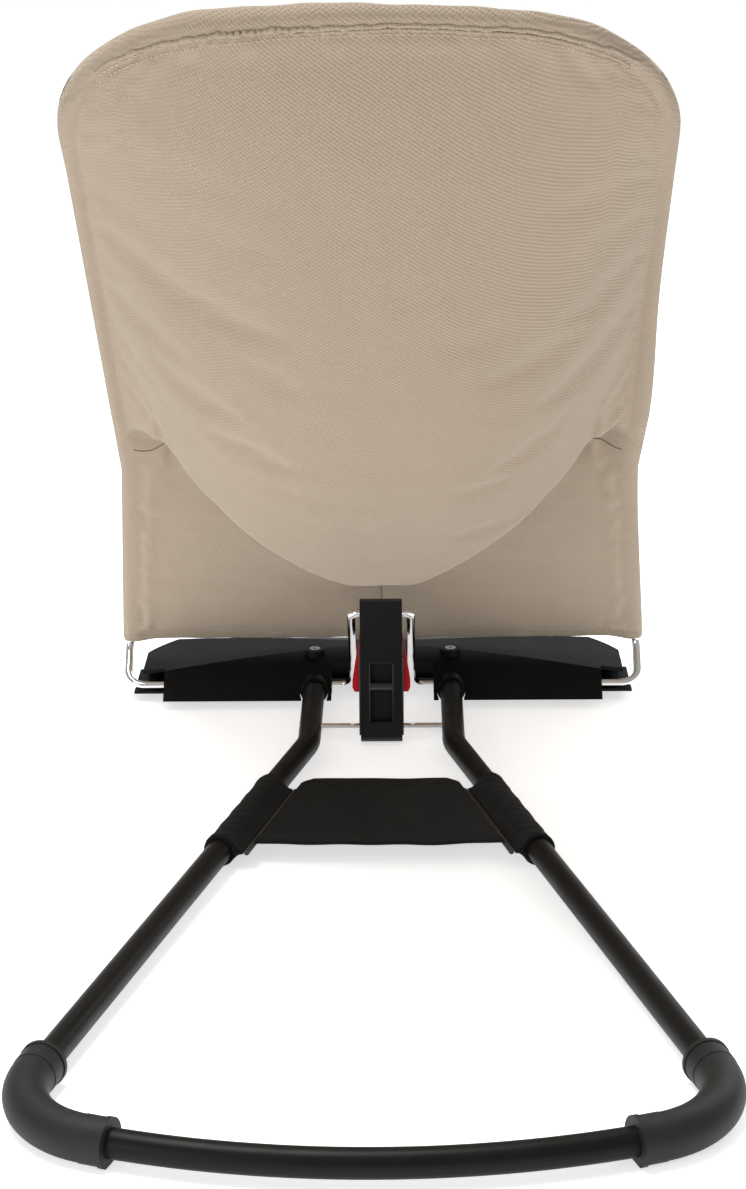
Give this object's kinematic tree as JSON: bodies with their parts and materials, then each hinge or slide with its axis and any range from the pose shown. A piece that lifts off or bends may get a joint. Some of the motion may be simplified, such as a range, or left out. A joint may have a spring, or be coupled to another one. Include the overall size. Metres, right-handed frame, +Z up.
{
  "type": "folding bouncer seat",
  "caption": "Folding wire bouncer seat: a sewn cover on a chrome hoop, hinged to a tube base and held up by a catch strut with side release buttons.",
  "frame": {"origin": "floor level, below the middle of the overall box", "axes": "+Z up, -Y towards the foot end, +Y towards the rear of the base, +X to the occupant's left"},
  "size_m": [0.388, 0.7887, 0.548],
  "materials": {
    "frame_paint": "satin black",
    "foot_rubber": "fine matte grain",
    "chrome_wire": "polished",
    "black_plastic": "fine moulded grain",
    "roller_plastic": "smooth",
    "screw_steel": "plated",
    "web_fabric": "plain weave",
    "piping_plastic": "smooth welt",
    "cover_fabric": "fine diagonal knit",
    "toggle_plastic": "satin",
    "red_plastic": "semi gloss"
  },
  "bodies": {
    "base": {"left_leg_tube": "frame_paint", "right_leg_tube": "frame_paint", "rear_bow_tube": "frame_paint", "left_corner_foot": "foot_rubber", "right_corner_foot": "foot_rubber", "crossbar_rod": "chrome_wire", "front_foot": "black_plastic", "foot_sole_pad": "foot_rubber", "left_leg_socket": "black_plastic", "right_leg_socket": "black_plastic", "left_leg_screw": "screw_steel", "right_leg_screw": "screw_steel", "web_panel": "web_fabric", "left_web_sleeve": "web_fabric", "right_web_sleeve": "web_fabric", "left_web_piping": "piping_plastic", "right_web_piping": "piping_plastic"},
    "support_loop": {"support_loop_wire": "chrome_wire"},
    "seat": {"left_side_wire": "chrome_wire", "right_side_wire": "chrome_wire", "top_bow_wire": "chrome_wire", "seat_cover": "cover_fabric", "harness_flap": "cover_fabric", "left_toggle": "toggle_plastic", "right_toggle": "toggle_plastic"},
    "strut": {"strut_body": "black_plastic", "strut_cap": "black_plastic", "strut_roller": "roller_plastic"},
    "left_button": {"left_release_button": "red_plastic"},
    "right_button": {"right_release_button": "red_plastic"}
  },
  "joints": [
    {"name": "seat_recline", "type": "hinge", "parent": "base", "child": "support_loop", "pos_m": [0, -0.3055, 0.012], "axis": [-1, 0, 0], "range_deg": [0, 41], "deforming": ["seat_cover", "harness_flap", "left_toggle", "right_toggle"]},
    {"name": "bounce", "type": "hinge", "parent": "support_loop", "child": "seat", "pos_m": [0, -0.3055, 0.012], "axis": [-1, 0, 0], "range_deg": [-4, 4], "stiffness_Nm_per_rad": 150},
    {"name": "strut_pivot", "type": "hinge", "parent": "base", "child": "strut", "pos_m": [0, -0.2162, 0.0115], "axis": [-1, 0, 0], "range_deg": [0, 93.71]},
    {"name": "left_button_press", "type": "slide", "parent": "strut", "child": "left_button", "axis": [-1, 0, 0], "range_m": [0, 0.0035], "stiffness_N_per_m": 600},
    {"name": "right_button_press", "type": "slide", "parent": "strut", "child": "right_button", "axis": [1, 0, 0], "range_m": [0, 0.0035], "stiffness_N_per_m": 600}
  ],
  "couplings": [
    {"joint": "strut_pivot", "follows": "seat_recline", "ratio": 2.2854}
  ]
}
